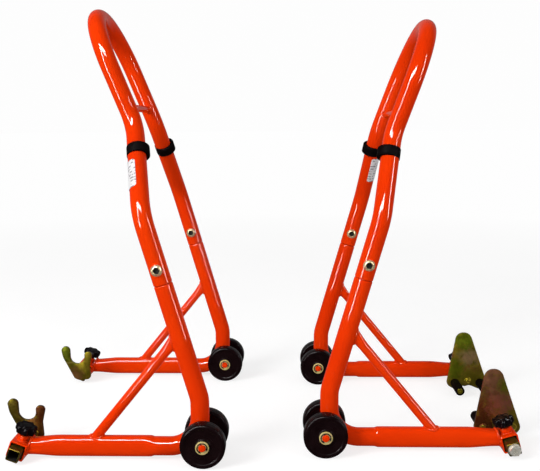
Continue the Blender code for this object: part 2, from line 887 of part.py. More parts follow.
def main():
    clear_scene()
    build_stand(REAR, PLATE_Y - PLATE_THICK / 2 - GAP)
    build_stand(FRONT, FORK_PLATE_Y - PLATE_THICK / 2 - GAP)
    for side in SIDES:
        hook(REAR, side)
        fork_plate(FRONT, side)
        fork_sleeve(FRONT, side, "back")
        fork_sleeve(FRONT, side, "tip")
        pivot_bolt(FRONT, side)


main()
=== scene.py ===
"""Looks of the paddock stands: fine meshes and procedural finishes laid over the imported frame."""

import random
from math import ceil, copysign, cos, exp, inf, pi, radians, sin, sqrt, tan, tau

import bmesh
import bpy
from mathutils import Matrix, Vector
from mathutils.bvhtree import BVHTree


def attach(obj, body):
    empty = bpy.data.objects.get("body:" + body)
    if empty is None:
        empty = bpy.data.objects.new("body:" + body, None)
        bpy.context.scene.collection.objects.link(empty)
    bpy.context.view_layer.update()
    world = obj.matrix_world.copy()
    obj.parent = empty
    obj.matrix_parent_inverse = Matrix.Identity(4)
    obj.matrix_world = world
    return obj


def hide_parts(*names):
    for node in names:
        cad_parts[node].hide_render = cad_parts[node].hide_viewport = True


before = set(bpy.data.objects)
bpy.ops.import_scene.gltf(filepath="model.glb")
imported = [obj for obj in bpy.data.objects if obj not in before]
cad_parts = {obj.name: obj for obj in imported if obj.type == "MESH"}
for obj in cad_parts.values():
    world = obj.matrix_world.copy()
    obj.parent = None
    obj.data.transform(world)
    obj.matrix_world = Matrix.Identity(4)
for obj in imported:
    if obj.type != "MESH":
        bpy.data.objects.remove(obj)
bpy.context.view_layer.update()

# ---- sizes, in metres, as in the CAD

GAP = 0.0003
TUBE_R, TUBE_WALL = 0.016, 0.0019
ARM_Z = 0.0225
BEND_X, BEND_TOP_Z, BEND_R = 0.0077, 0.106, 0.052
LEAN, SEAM_Z, TOP_BEND_R = 0.289, 0.303, 0.08
# Pressed arm: x and half height; x, half width and squareness; x and depth of the crease
ARM_HEIGHT = ((0.0855, TUBE_R), (0.0925, 0.0177), (0.245, 0.0177), (0.296, 0.0138), (0.318, 0.0138))
ARM_WIDTH = (
    (0.078, TUBE_R, 2), (0.108, 0.0128, 2.6), (0.245, 0.0128, 2.6),
    (0.296, 0.015, 2.7), (0.318, 0.015, 2.7),
)
CREASE = ((0.262, 0), (0.3, 0.0011), (0.318, 0.0014))
BRACE_R = 0.0085
BRACE_FOOT, BRACE_HEAD = (0.199, ARM_Z), (0.0455, 0.2105)
PINCH_LENGTH, PINCH_WIDEN, PINCH_FLATTEN = 0.034, 1.3, 0.62
SPIGOT_R, SPIGOT_WALL, SPIGOT_HALF = 0.0133, 0.0024, 0.055
BOLT_Z, BOLT_R, BOLT_HEAD_R, BOLT_HEAD_HEIGHT = 0.329, 0.005, 0.01, 0.0055
NUT_R, NUT_HEIGHT = 0.0092, 0.008
BAR_R = 0.0065
BAND_OUTER_R, BAND_SHIFT, BAND_HALF = 0.0198, 0.003, 0.0095
LABEL_LENGTH = 0.055
LABEL_ARC, LABEL_TURN = radians(95), radians(48)
WHEEL_R, WHEEL_INNER, WHEEL_WIDTH = 0.038, 0.0195, 0.0245
PIN_R, PIN_HALF = 0.006, 0.0486
SLEEVE_R, SLEEVE_HALF = 0.01, 0.019
WASHER_R, WASHER_WIDTH, CLIP_R, CLIP_WIDTH = 0.0115, 0.0015, 0.0092, 0.0011
SOCKET_X, SOCKET_SIDE, SOCKET_BORE = 0.318, 0.03, 0.025
SOCKET_OUTBOARD, SOCKET_INBOARD = 0.0195, 0.026
SLIDER_SIDE, SLIDER_WALL = 0.0215, 0.002
SLIDER_DROP = 0.5 * (SOCKET_BORE - SLIDER_SIDE) - GAP
STUD_R, CLAMP_NUT_R, CLAMP_NUT_HEIGHT = 0.004, 0.0104, 0.009
KNOB_R, KNOB_LOBES, KNOB_HEIGHT, KNOB_BASE = 0.0185, 7, 0.0135, 0.0285
KNOB_NECK_R, KNOB_NECK = 0.0085, 0.0035
PLATE_Y, PLATE_THICK, FORK_PLATE_Y = 0.058, 0.006, 0.065
PIVOT_R, PIVOT_HEAD_R, PIVOT_HEAD_HEIGHT = 0.006, 0.0108, 0.0075
PIVOT_CAP_R, PIVOT_CAP_WIDTH = 0.008, 0.003
FORK_PIN_R, FORK_PIN_LENGTH, FORK_SLEEVE_R = 0.00575, 0.055, 0.0094
FORK_PIN_PLACES = {"back": (-0.0278, -0.0025), "tip": (0.0252, -0.002)}
HOOK_OUTLINE = (
    (0.0202, 0.0655, 0.0092), (0.0405, 0.0655, 0.009), (0.0362, 0.042, 0.03),
    (0.01, -0.0105, 0.016), (-0.024, -0.008, 0.0085), (-0.0222, 0.023, 0.02),
    (-0.0295, 0.0535, 0.0078), (-0.0112, 0.0535, 0.007), (-0.0115, 0.0273, 0.0152),
    (0.0195, 0.0273, 0.0152),
)
FORK_OUTLINE = (
    (0.0018, 0.1067, 0.016), (0.0425, -0.0085, 0.013), (0.024, -0.0165, 0.01),
    (0, -0.006, 0.025), (-0.029, -0.0165, 0.01), (-0.0455, -0.007, 0.012),
    (-0.0255, 0.1067, 0.016),
)
SIDES = ("left", "right")
UP = Vector((0, 0, 1))
ACROSS = Vector((0, 1, 0))
FORE = Vector((1, 0, 0))
# Fineness of the meshes, and small sizes that only the looks have
TUBE_SIDES, HEX_SIDES, BAND_SIDES, BEAD_SIDES = 64, 48, 56, 10
BEAD_PITCH, THREAD_PITCH, TUBE_STEP = 0.0022, 0.00125, 0.01
PLATE_EDGE, SQUARE_EDGE, PIVOT_WASHER = 0.0007, 0.0007, 0.0016
# How far a nut or a bolt head sinks into its seat, and how far out of a surface a bead lies
SINK, PROUD = 0.0004, 0.0004
# Rounded lip of a tube: distance from its end, and how far the wall is drawn in there
LIP = ((0, 0.0018), (0.0004, 0.0009), (0.0013, 0.0002), (0.002, 0), (0.004, 0))
# One end of a band: share of its half length, and share of its thickness
BAND_END = (
    (0.66, 1), (0.7, 0.9), (0.76, 0.9), (0.8, 1),
    (0.86, 1), (0.95, 0.86), (0.995, 0.55), (1, 0.1),
)
# A wheel's face from bore to tread: radius, and how deep it lies below the flat of the face
WHEEL_FACE = (
    (PIN_R + GAP, 0.0006), (PIN_R + GAP + 0.0006, 0), (0.013, 0), (0.0136, 0.0003), (0.0142, 0.0011),
    (0.015, 0.0013), (0.0188, 0.0011), (0.019, 0.0014), (0.0196, 0.0014), (0.0198, 0.0011),
    (0.0292, 0.0011), (0.03, 0.0009), (0.0306, 0.0002), (0.0312, 0), (0.0338, 0), (0.034, 0.0003),
    (0.0345, 0.0003), (0.0347, 0), (WHEEL_R - 0.0028, 0.0002), (WHEEL_R - 0.0015, 0.0008),
    (WHEEL_R - 0.0005, 0.0019), (WHEEL_R - 0.0001, 0.0032), (WHEEL_R, 0.006),
)
# A knob from base to top: share of its radius, share of its height, and depth of the lobes
KNOB_FORM = (
    (0.3, 0, 0), (0.6, 0, 0.3), (0.86, 0.02, 0.7), (0.94, 0.07, 0.9), (0.985, 0.18, 1),
    (1, 0.34, 1), (1, 0.6, 1), (0.985, 0.76, 1), (0.945, 0.88, 0.95), (0.88, 0.95, 0.85),
    (0.78, 0.985, 0.6), (0.6, 0.93, 0.3), (0.5, 0.9, 0.1), (0.46, 0.905, 0), (0.44, 0.975, 0),
    (0.38, 1, 0), (0.2, 1, 0),
)
# Tinted patches of each zinc plate: x and z from its middle, radius, and colour
TINTS = {
    "hook_left": (
        (-0.026, 0.045, 0.08, (0.085, 0.058, 0.004)), (0.026, 0.042, 0.05, (0.085, 0.018, 0.004)),
        (0.014, 0.004, 0.034, (0.115, 0.044, 0.008)),
    ),
    "hook_right": (
        (-0.004, 0.03, 0.08, (0.18, 0.135, 0.006)), (-0.012, 0.002, 0.022, (0.3, 0.13, 0.04)),
        (-0.026, 0.05, 0.036, (0.095, 0.115, 0.004)),
    ),
    "fork_plate_left": (
        (0, 0.055, 0.028, (0.42, 0.26, 0.12)), (-0.012, 0.092, 0.034, (0.17, 0.22, 0.008)),
        (-0.03, 0.028, 0.03, (0.17, 0.2, 0.006)), (0.024, 0.01, 0.03, (0.23, 0.18, 0.012)),
    ),
    "fork_plate_right": (
        (-0.01, 0.06, 0.09, (0.2, 0.085, 0.026)), (-0.03, 0.012, 0.05, (0.12, 0.03, 0.009)),
        (0.004, 0.044, 0.034, (0.33, 0.11, 0.065)), (-0.014, 0.09, 0.03, (0.29, 0.115, 0.06)),
        (0.012, 0.078, 0.022, (0.15, 0.15, 0.008)), (0.034, 0.018, 0.024, (0.2, 0.15, 0.012)),
    ),
}


class Stand:
    """One of the two stands. Its sizes are given by name, and x runs from its hub to its arms."""

    def __init__(self, name, sign, tilt, plate_y, **sizes):
        self.name, self.sign = name, sign
        self.frame = f"{name}_frame"
        self.tilt = radians(tilt)
        self.pivot_z = SOCKET_SIDE * sqrt(0.5) * cos(pi / 4 - self.tilt)
        self.along = Vector((sign * cos(self.tilt), 0, sin(self.tilt)))
        self.up = Vector((-sign * sin(self.tilt), 0, cos(self.tilt)))
        self.slider_inboard = plate_y - PLATE_THICK / 2 - GAP
        vars(self).update(sizes)

    def at(self, x, y, z):
        return Vector((self.sign * (self.hub_x + x), self.middle_y + y, z))

    def side_y(self, side):
        return self.half_width * self.sign * (1 if side == "left" else -1)

    def outward(self, side):
        return copysign(1, self.side_y(side))

    def socket(self, along, y, up):
        """A world point in the tilted frame of the socket."""
        return self.at(SOCKET_X, y, self.pivot_z) + self.along * along + self.up * up

    def slider_middle(self, side, inboard):
        return self.socket(0, self.side_y(side) - self.outward(side) * inboard, -SLIDER_DROP)


REAR = Stand(
    "rear", -1, 21, PLATE_Y, hub_x=0.1027, middle_y=0, half_width=0.221, slider_outboard=0.035,
    lower=0.419, upper=0.564, jog_lean=0.195, loop_lean=0.403, loop_half=0.106, loop_top=0.7586,
    bar_z=0.594, band_share=0.68, label_drop=0.0245,
)
FRONT = Stand(
    "front", 1, 16, FORK_PLATE_Y, hub_x=0.1023, middle_y=0.01, half_width=0.188, slider_outboard=0.04,
    lower=0.406, upper=0.545, jog_lean=0.176, loop_lean=0.372, loop_half=0.121, loop_top=0.7366,
    bar_z=0.582, band_share=0.76, label_drop=0.015,
)

# ---- materials


class Graph:
    """A node tree, and a short way to add nodes to it."""

    def __init__(self, tree):
        self.tree = tree

    def link(self, value, socket):
        """Gives a socket its value: a number, a colour or the output of another node."""
        if isinstance(value, bpy.types.NodeSocket):
            self.tree.links.new(value, socket)
        else:
            socket.default_value = value

    def node(self, kind, inputs, **settings):
        n = self.tree.nodes.new("ShaderNode" + kind)
        for key, value in settings.items():
            setattr(n, key, value)
        for key, value in inputs.items():
            self.link(value, n.inputs[key])
        return n.outputs


class Finish(Graph):
    """A Principled material built out of texture nodes."""

    def __init__(self, name, **sockets):
        self.material = bpy.data.materials.new(name)
        self.material.use_nodes = True
        super().__init__(self.material.node_tree)
        self.shader = self.tree.nodes["Principled BSDF"]
        for key, value in sockets.items():
            self.shader.inputs[key.replace("_", " ")].default_value = value
        self.place = self.tree.nodes.new("ShaderNodeTexCoord").outputs["Object"]

    def noise(self, scale, detail=3, rough=0.5, distortion=0, place=None):
        inputs = {"Scale": scale, "Detail": detail, "Roughness": rough, "Distortion": distortion}
        return self.node("TexNoise", {**inputs, "Vector": place or self.place})["Fac"]

    def stretched(self, scale):
        return self.node("Mapping", {"Scale": scale, "Vector": self.place})["Vector"]

    def cells(self, scale):
        return self.node("TexVoronoi", {"Scale": scale, "Vector": self.place})["Distance"]

    def spread(self, value, low, high, to_low=0, to_high=1):
        inputs = {"From Min": low, "From Max": high, "To Min": to_low, "To Max": to_high}
        return self.node("MapRange", {**inputs, "Value": value})["Result"]

    def ramp(self, value, stops):
        n = self.tree.nodes.new("ShaderNodeValToRGB")
        ramp = n.color_ramp
        while len(ramp.elements) < len(stops):
            ramp.elements.new(0.5)
        for element, (place, colour) in zip(ramp.elements, stops):
            element.position = place
            element.color = (*colour, 1)
        self.link(value, n.inputs["Fac"])
        return n.outputs["Color"]

    def mix(self, share, a, b):
        a, b = ((*value, 1) if isinstance(value, tuple) else value for value in (a, b))
        return self.node("Mix", {0: share, 6: a, 7: b}, data_type="RGBA")[2]

    def times(self, a, b):
        return self.node("Math", {0: a, 1: b}, operation="MULTIPLY", use_clamp=True)[0]

    def near(self, centre, radius):
        """1 at a point of the object, falling to 0 near the radius, with an uneven edge."""
        away = self.node("VectorMath", {0: self.place, 1: centre}, operation="DISTANCE")["Value"]
        wobble = 0.75 * radius
        uneven = self.spread(self.noise(85, 7, 0.75), 0.25, 0.75, -wobble, wobble)
        total = self.node("Math", {0: away, 1: uneven}, operation="ADD")[0]
        return self.spread(total, radius, radius * 0.35)

    def bump(self, height, strength, distance):
        inputs = {"Strength": strength, "Distance": distance, "Height": height}
        normal = self.shader.inputs["Normal"]
        if normal.links:
            inputs["Normal"] = normal.links[0].from_socket
        self.link(self.node("Bump", inputs)["Normal"], normal)

    def colour(self, value):
        self.link(value, self.shader.inputs["Base Color"])

    def roughness(self, value):
        self.link(value, self.shader.inputs["Roughness"])


def orange_paint():
    f = Finish("orange_powder_coat", Coat_Weight=0.7, Coat_Roughness=0.012, Specular_IOR_Level=0)
    tone = f.ramp(f.noise(9), ((0.3, (0.72, 0.03, 0.0006)), (0.7, (0.8, 0.04, 0.0009))))
    dusty = f.times(f.spread(f.noise(38, 4, 0.6), 0.62, 0.85), 0.03)
    tone = f.mix(dusty, tone, (0.8, 0.22, 0.09))
    scratch = f.noise(170, 2, 0.5, 0.4, f.stretched((0.25, 1, 1)))
    scratched = f.times(f.spread(scratch, 0.735, 0.765), 0.35)
    tone = f.mix(scratched, tone, (0.48, 0.03, 0.004))
    chips = f.times(f.spread(f.cells(26), 0.03, 0.024), f.spread(f.noise(11), 0.56, 0.6))
    f.colour(f.mix(chips, tone, (0.16, 0.07, 0.045)))
    f.roughness(f.spread(f.noise(55, 4, 0.6), 0.3, 0.75, 0.24, 0.36))
    f.bump(f.noise(420, 1), 0.006, 0.0003)
    f.bump(f.spread(chips, 1, 0), 0.3, 0.0002)
    return f.material, "orange_powder_coat"


def mottled(slot, name, grain, tone, rough, bump, **sockets):
    """A look whose colour, roughness and bump follow one noise each."""
    f = Finish(name, **sockets)
    f.colour(f.ramp(f.noise(*grain), tone))
    scale, low, high = rough
    f.roughness(f.spread(f.noise(scale), 0.3, 0.7, low, high))
    scale, detail, strength, distance = bump
    f.bump(f.noise(scale, detail), strength, distance)
    return f.material, slot


def yellow_zinc(name, patches=(), shade=1):
    f = Finish(name, Metallic=0.8, Specular_IOR_Level=0.2)
    tones = (
        (0.28, (0.11, 0.12, 0.006)), (0.44, (0.215, 0.175, 0.01)), (0.54, (0.33, 0.23, 0.022)),
        (0.64, (0.25, 0.095, 0.03)), (0.78, (0.18, 0.145, 0.01)),
    )
    tone = f.ramp(f.noise(30, 8, 0.72, 0.7), tones)
    for centre, radius, colour in patches:
        tone = f.mix(f.near(centre, radius), tone, colour)
    speck = f.spread(f.noise(260, 3, 0.6), 0.42, 0.7)
    tone = f.mix(f.times(speck, 0.12), tone, (0.34, 0.25, 0.05))
    line = f.noise(95, 3, 0.6, 0.2, f.stretched((0.18, 1, 1)))
    scuffs = f.times(f.spread(line, 0.68, 0.74), 0.35)
    tone = f.mix(scuffs, tone, (0.46, 0.36, 0.12))
    f.colour(tone if shade == 1 else f.mix(1 - shade, tone, (0.035, 0.014, 0.004)))
    f.roughness(f.spread(f.noise(120, 4, 0.6), 0.3, 0.75, 0.3, 0.52))
    f.bump(f.noise(540, 2), 0.1, 0.0003)
    f.bump(line, 0.12, 0.0003)
    return f.material, "yellow_zinc"


def tread_black():
    f = Finish("black_wheel", Specular_IOR_Level=0.05, Coat_Weight=0.07, Coat_Roughness=0.1)
    dust = f.times(f.spread(f.noise(65, 5, 0.7), 0.62, 0.85), 0.16)
    stops = ((0.3, (0.0046, 0.0014, 0.0018)), (0.75, (0.009, 0.0034, 0.004)))
    tone = f.ramp(f.noise(45), stops)
    f.colour(f.mix(dust, tone, (0.05, 0.04, 0.036)))
    f.roughness(f.spread(f.noise(80, 4, 0.65), 0.3, 0.75, 0.22, 0.38))
    f.bump(f.noise(600, 1), 0.035, 0.0003)
    return f.material, "black_plastic"


def paper(run, columns):
    """White paper with blank grey bars where print would be."""
    f = Finish("white_paper", Specular_IOR_Level=0.3)
    up = f.node("VectorMath", {0: f.place, 1: run}, operation="DOT_PRODUCT")["Value"]
    rows = f.node("Math", {0: up, 1: 0.003}, operation="PINGPONG")[0]
    bars = f.spread(rows, 0.0015, 0.0018)
    broken = f.spread(f.noise(190, 1, 0.5, 0, f.stretched(columns)), 0.47, 0.51)
    print_share = f.times(f.times(bars, broken), 0.85)
    tone = f.ramp(f.noise(80), ((0.3, (0.64, 0.62, 0.63)), (0.7, (0.72, 0.7, 0.71))))
    f.colour(f.mix(print_share, tone, (0.16, 0.16, 0.17)))
    f.roughness(f.spread(f.noise(300), 0.3, 0.7, 0.45, 0.65))
    f.bump(f.noise(700, 2), 0.1, 0.0002)
    return f.material, "white_paper"


# A look is a material and its slot. A mottled one has a slot, a name, the noise and tones of its
# colour, the scale and range of its roughness, and the scale, detail and size of its bumps.
paint = orange_paint()
weld = mottled(
    "orange_powder_coat", "orange_powder_coat_weld",
    (90,), ((0.3, (0.66, 0.032, 0.0008)), (0.7, (0.84, 0.052, 0.0014))),
    (140, 0.22, 0.4), (420, 3, 0.25, 0.0006),
    Coat_Weight=0.6, Coat_Roughness=0.05, Specular_IOR_Level=0.05,
)
zinc = yellow_zinc("yellow_zinc")
bronze_zinc = yellow_zinc("yellow_zinc_bar", shade=0.42)
washer_zinc = mottled(
    "yellow_zinc", "yellow_zinc_washer",
    (190,), ((0.3, (0.74, 0.55, 0.13)), (0.55, (0.95, 0.8, 0.34)), (0.75, (0.82, 0.54, 0.24))),
    (240, 0.26, 0.42), (700, 2, 0.1, 0.0002), Metallic=0.45,
)
STRAW, CREAM, ROSE, GOLD = (0.66, 0.58, 0.26), (0.92, 0.82, 0.46), (0.78, 0.44, 0.28), (0.86, 0.78, 0.38)
bolt_zinc = mottled(
    "yellow_zinc", "yellow_zinc_bolt",
    (170, 4, 0.6, 0.6), ((0.32, STRAW), (0.46, CREAM), (0.56, ROSE), (0.7, GOLD)),
    (240, 0.14, 0.3), (800, 2, 0.06, 0.0002), Metallic=0.6,
)
silver = mottled(
    "yellow_zinc", "bright_zinc",
    (130,), ((0.3, (0.62, 0.58, 0.47)), (0.7, (0.86, 0.83, 0.74))),
    (240, 0.16, 0.32), (800, 2, 0.08, 0.0002), Metallic=0.55,
)
wheel_black = tread_black()
knob_black = mottled(
    "black_plastic", "black_knob",
    (120,), ((0.3, (0.0028, 0.0016, 0.0022)), (0.75, (0.006, 0.004, 0.0048))),
    (180, 0.2, 0.34), (650, 2, 0.03, 0.0003),
    Specular_IOR_Level=0, Coat_Weight=0.3, Coat_Roughness=0.03,
)
band_black = mottled(
    "black_rubber", "black_rubber",
    (100, 4), ((0.3, (0.0024, 0.0009, 0.0011)), (0.75, (0.0052, 0.0025, 0.0028))),
    (160, 0.5, 0.7), (520, 3, 0.22, 0.0004), Specular_IOR_Level=0.03,
)
steel = mottled(
    "dark_steel", "dark_steel",
    (110,), ((0.3, (0.035, 0.033, 0.032)), (0.7, (0.11, 0.105, 0.1))),
    (200, 0.32, 0.5), (600, 2, 0.12, 0.0003), Metallic=1,
)
# The inside of a square tube and the deep part of a bolt's hex recess, painted near-black as shade. It is
# only ever a second material.
bare_bore, _ = mottled(
    None, "bare_bore",
    (130, 4), ((0.3, (0.006, 0.005, 0.004)), (0.7, (0.022, 0.018, 0.011))),
    (200, 0.55, 0.75), (480, 3, 0.2, 0.0003), Metallic=0.2, Specular_IOR_Level=0.2,
)

# ---- mesh helpers


def placed(name, data):
    obj = bpy.data.objects.new(name, data)
    bpy.context.scene.collection.objects.link(obj)
    return obj


def add(name, mesh, look, body, nodes=()):
    """A piece that rides a body, in place of the CAD nodes given."""
    material, slot = look
    mesh.materials.append(material)
    obj = placed(name, mesh)
    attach(obj, body)
    if nodes:
        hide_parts(*nodes)


def skin(rings, closed=False, sharp=38):
    """A mesh over rings of points. A ring of one point closes an end, and so does a flat face."""
    shape = bmesh.new()
    rows = [[shape.verts.new(point) for point in ring] for ring in rings]
    pairs = list(zip(rows, rows[1:]))
    if closed:
        pairs.append((rows[-1], rows[0]))
    for low, high in pairs:
        count = max(len(low), len(high))
        for i in range(count):
            j = (i + 1) % count
            if len(low) == 1:
                shape.faces.new((low[0], high[i], high[j]))
            elif len(high) == 1:
                shape.faces.new((low[j], low[i], high[0]))
            else:
                shape.faces.new((low[i], high[i], high[j], low[j]))
    if not closed:
        for row in (rows[0], rows[-1]):
            if len(row) > 1:
                shape.faces.new(row)
    return settled(shape, "skin", sharp)


def settled(shape, name, sharp):
    """The mesh of a finished bmesh, smooth but for its sharp edges."""
    bmesh.ops.recalc_face_normals(shape, faces=shape.faces)
    mesh = bpy.data.meshes.new(name)
    shape.to_mesh(mesh)
    shape.free()
    mesh.shade_smooth()
    mesh.set_sharp_from_angle(angle=radians(sharp))
    return mesh


def tree_of(mesh):
    return BVHTree.FromPolygons([v.co for v in mesh.vertices], [p.vertices for p in mesh.polygons])


def filleted(points, radii, turn=radians(5)):
    route = [points[0]]
    for before, corner, after, radius in zip(points, points[1:], points[2:], radii):
        back = (before - corner).normalized()
        ahead = (after - corner).normalized()
        half = back.angle(ahead) / 2
        centre = corner + (back + ahead).normalized() * radius / sin(half)
        first = corner + back * radius / tan(half) - centre
        last = corner + ahead * radius / tan(half) - centre
        sweep = first.angle(last)
        count = max(2, ceil(sweep / turn))
        axis = first.cross(last).normalized()
        for step in range(count + 1):
            route.append(centre + Matrix.Rotation(sweep * step / count, 3, axis) @ first)
    route.append(points[-1])
    return route


def dense(route):
    """The same route with its long straight runs cut into short ones, so shading stays even."""
    result = [route[0]]
    for a, b in zip(route, route[1:]):
        count = max(1, ceil((b - a).length / TUBE_STEP))
        result += [a.lerp(b, k / count) for k in range(1, count + 1)]
    return result


def tangents(route, closed=False):
    before, after = route[-1:] + route[:-1], route[1:] + route[:1]
    if not closed:
        before[0], after[-1] = route[0], route[-1]
    return [(b - a).normalized() for a, b in zip(before, after)]


def oval(wide, tall, power, count):
    ring = []
    for step in range(count):
        angle = tau * step / count
        c, s = cos(angle), sin(angle)
        side = wide * copysign(abs(c) ** (2 / power), c)
        ring.append((side, tall * copysign(abs(s) ** (2 / power), s)))
    return ring


def round_tube(inset):
    return oval(TUBE_R - inset, TUBE_R - inset, 2, TUBE_SIDES)


def ring_of(middle, across, up, count, reach, turn=0):
    """A ring of points about a middle. reach(angle) says how far out each lies."""
    ring = []
    for step in range(count):
        angle = tau * step / count
        ring.append(middle + (across * cos(angle + turn) + up * sin(angle + turn)) * reach(angle))
    return ring


def circle(middle, across, up, radius, count):
    return ring_of(middle, across, up, count, lambda _: radius)


def hexagon(middle, across, up, radius, limit=inf, turn=0):
    """A ring on a hexagon with this corner radius, its corners turned down to the limit."""

    def reach(angle):
        return min(limit, radius * cos(pi / 6) / cos(angle % (tau / 6) - tau / 12))

    return ring_of(middle, across, up, HEX_SIDES, reach, turn)


def squared(vector, run):
    """The direction of the part of a vector that is square to a run."""
    return (vector - run * vector.dot(run)).normalized()


def axes(ahead):
    ahead = ahead.normalized()
    across = ahead.orthogonal().normalized()
    return ahead, across, ahead.cross(across)


def swept(route, section, side=None):
    """Rings along a route. section(i) gives a ring's (side, up) points at route point i."""
    rings = []
    across = side
    for i, (point, ahead) in enumerate(zip(route, tangents(route))):
        if across is None:
            across = ahead.orthogonal().normalized()
        elif side is None:
            across = squared(across, ahead)
        up = ahead.cross(across).normalized()
        rings.append([point + across * a + up * b for a, b in section(i)])
    return rings


def with_lips(route):
    """The route with close points at each end for a rounded lip, and each point's inset."""
    first, last = (route[1] - route[0]).normalized(), (route[-2] - route[-1]).normalized()
    start = [route[0] + first * away for away, _ in LIP]
    end = [route[-1] + last * away for away, _ in reversed(LIP)]
    drawn = [inset for _, inset in LIP]
    return start + route[1:-1] + end, drawn + [0] * (len(route) - 2) + drawn[::-1]


def lathe(profile, start, ahead, count, closed=False):
    """Rings of (radius, height) about a line."""
    ahead, across, up = axes(ahead)
    rings = []
    for radius, height in profile:
        middle = start + ahead * height
        rings.append(circle(middle, across, up, radius, count) if radius > 0 else [middle])
    return skin(rings, closed)


def softened(outline, radius):
    """A profile with each corner cut twice, for a small rounded edge."""
    points = [Vector((r, h)) for r, h in outline]
    result = []
    for i, point in enumerate(points):
        if i in (0, len(points) - 1) or point.x <= 0:
            result.append(tuple(point))
            continue
        back, ahead = points[i - 1] - point, points[i + 1] - point
        reach = min(radius, back.length * 0.45, ahead.length * 0.45)
        a, b = point + back.normalized() * reach, point + ahead.normalized() * reach
        middle = (a + b) / 4 + point / 2
        result += [tuple(a), tuple(middle), tuple(b)]
    return result


def pipe(inner, outer, length, soft, start, ahead, count):
    """A short round tube with softened edges, such as a washer or a sleeve."""
    edge = softened(((inner, 0), (outer, 0), (outer, length), (inner, length)), soft)
    return lathe(edge, start, ahead, count, closed=True)


def bead(loop, radius, seed):
    """A rippled weld bead along a closed loop of points."""
    chance = random.Random(seed)
    middle = sum(loop, Vector()) / len(loop)
    length = sum((b - a).length for a, b in zip(loop, loop[1:] + loop[:1]))
    count = max(24, int(length / BEAD_PITCH * 4))
    waves = max(6, round(length / BEAD_PITCH))
    route = []
    for step in range(count):
        place = step / count * len(loop)
        i = int(place)
        route.append(loop[i].lerp(loop[(i + 1) % len(loop)], place - i))
    rings = []
    drift = [chance.uniform(-0.12, 0.12) for _ in range(waves)]
    for step, (point, ahead) in enumerate(zip(route, tangents(route, closed=True))):
        outward = squared(point - middle, ahead)
        wave = cos(tau * waves * step / count)
        size = radius * (1 + 0.13 * wave + drift[int(waves * step / count) % waves])
        rings.append(circle(point, outward, ahead.cross(outward), size, BEAD_SIDES))
    return skin(rings, closed=True, sharp=60)


def square_ring(stand, middle, half, radius, steps=4):
    """A rounded square about a point, in the tilted plane of the socket's section."""
    ring = []
    for quarter, (sx, sy) in enumerate(((1, 1), (-1, 1), (-1, -1), (1, -1))):
        for step in range(steps + 1):
            angle = pi / 2 * (quarter + step / steps)
            a = sx * (half - radius) + radius * cos(angle)
            b = sy * (half - radius) + radius * sin(angle)
            ring.append(middle + stand.along * a + stand.up * b)
    return ring


def square_tube(stand, side, ends, drop, outer, inner, corner):
    """A hollow square tube across the arm. Its bore has the second material, a painted near-black shade."""

    def ring(reach, half, radius):
        y = stand.side_y(side) + stand.outward(side) * reach
        return square_ring(stand, stand.socket(0, y, -drop), half, radius)

    low, high = -ends[1], ends[0]
    soft = SQUARE_EDGE
    rings = [
        ring(low, outer - soft, corner - soft * 0.5),
        ring(low + soft, outer, corner),
        ring(high - soft, outer, corner),
        ring(high, outer - soft, corner - soft * 0.5),
        ring(high, inner + soft * 0.4, corner - 0.0012),
        ring(high - soft, inner, corner - 0.0014),
        ring(low + soft, inner, corner - 0.0014),
        ring(low, inner + soft * 0.4, corner - 0.0012),
    ]
    mesh = skin(rings, closed=True)
    for face in mesh.polygons:
        # The deep inner wall gets the second material: painted shade.
        face.material_index = int(face.index // len(rings[0]) == 5)
    return mesh


def slab(outline, centre):
    """A flat plate in the XZ plane with rounded corners and softened edges."""
    corners = [Vector((x, 0, z)) for x, z, _ in outline]
    loop = [corners[-1], *corners, corners[0]]
    route = filleted(loop, [corner[2] for corner in outline], radians(7))[1:-1]
    turn = copysign(1, sum(a.x * b.z - b.x * a.z for a, b in zip(route, route[1:] + route[:1])))
    inward = [Vector((-ahead.z, 0, ahead.x)) * turn for ahead in tangents(route, closed=True)]
    half, edge = PLATE_THICK / 2, PLATE_EDGE
    front = ((edge, -half), (edge * 0.3, -half + edge * 0.3), (0, -half + edge))
    rings = []
    for inset, y in (*front, *((inset, -y) for inset, y in reversed(front))):
        rings.append([centre + point + normal * inset + ACROSS * y for point, normal in zip(route, inward)])
    return skin(rings, sharp=30)


def hex_head(start, ahead, radius, height, recess=0, turn=0):
    """A hexagon with its corners turned off, as a nut or a bolt head has."""
    ahead, across, up = axes(ahead)
    flat = radius * cos(pi / 6)
    rings = [[start]]
    top = ((flat * 0.97, height), (flat * 0.6, height - recess))
    for limit, reach in ((flat * 0.98, 0), (radius, height * 0.14), (radius, height * 0.8), *top):
        rings.append(hexagon(start + ahead * reach, across, up, radius, limit, turn))
    rings.append([start + ahead * (height - recess)])
    return skin(rings, sharp=25)


# ---- routes


def upright_x(z):
    return BEND_X + LEAN * (z - BEND_TOP_Z)


def handle_corners(stand):
    lower_x = upright_x(stand.lower)
    upper_x = lower_x + stand.jog_lean * (stand.upper - stand.lower)
    top_x = upper_x + stand.loop_lean * (stand.loop_top - stand.upper)
    return (
        (upright_x(SEAM_Z), stand.half_width, SEAM_Z),
        (lower_x, stand.half_width, stand.lower),
        (upper_x, stand.loop_half, stand.upper),
        (top_x, stand.loop_half, stand.loop_top),
    )


def jog_axis(stand, side):
    sign = stand.outward(side)
    return [stand.at(x, sign * y, z) for x, y, z in handle_corners(stand)[1:3]]


def eased(share):
    return share * share * (3 - 2 * share)


def between(stations, x):
    """Values at x, eased from one station to the next."""
    if x <= stations[0][0]:
        return stations[0][1:]
    for low, high in zip(stations, stations[1:]):
        if x <= high[0]:
            share = eased((x - low[0]) / (high[0] - low[0]))
            return tuple(a + (b - a) * share for a, b in zip(low[1:], high[1:]))
    return stations[-1][1:]


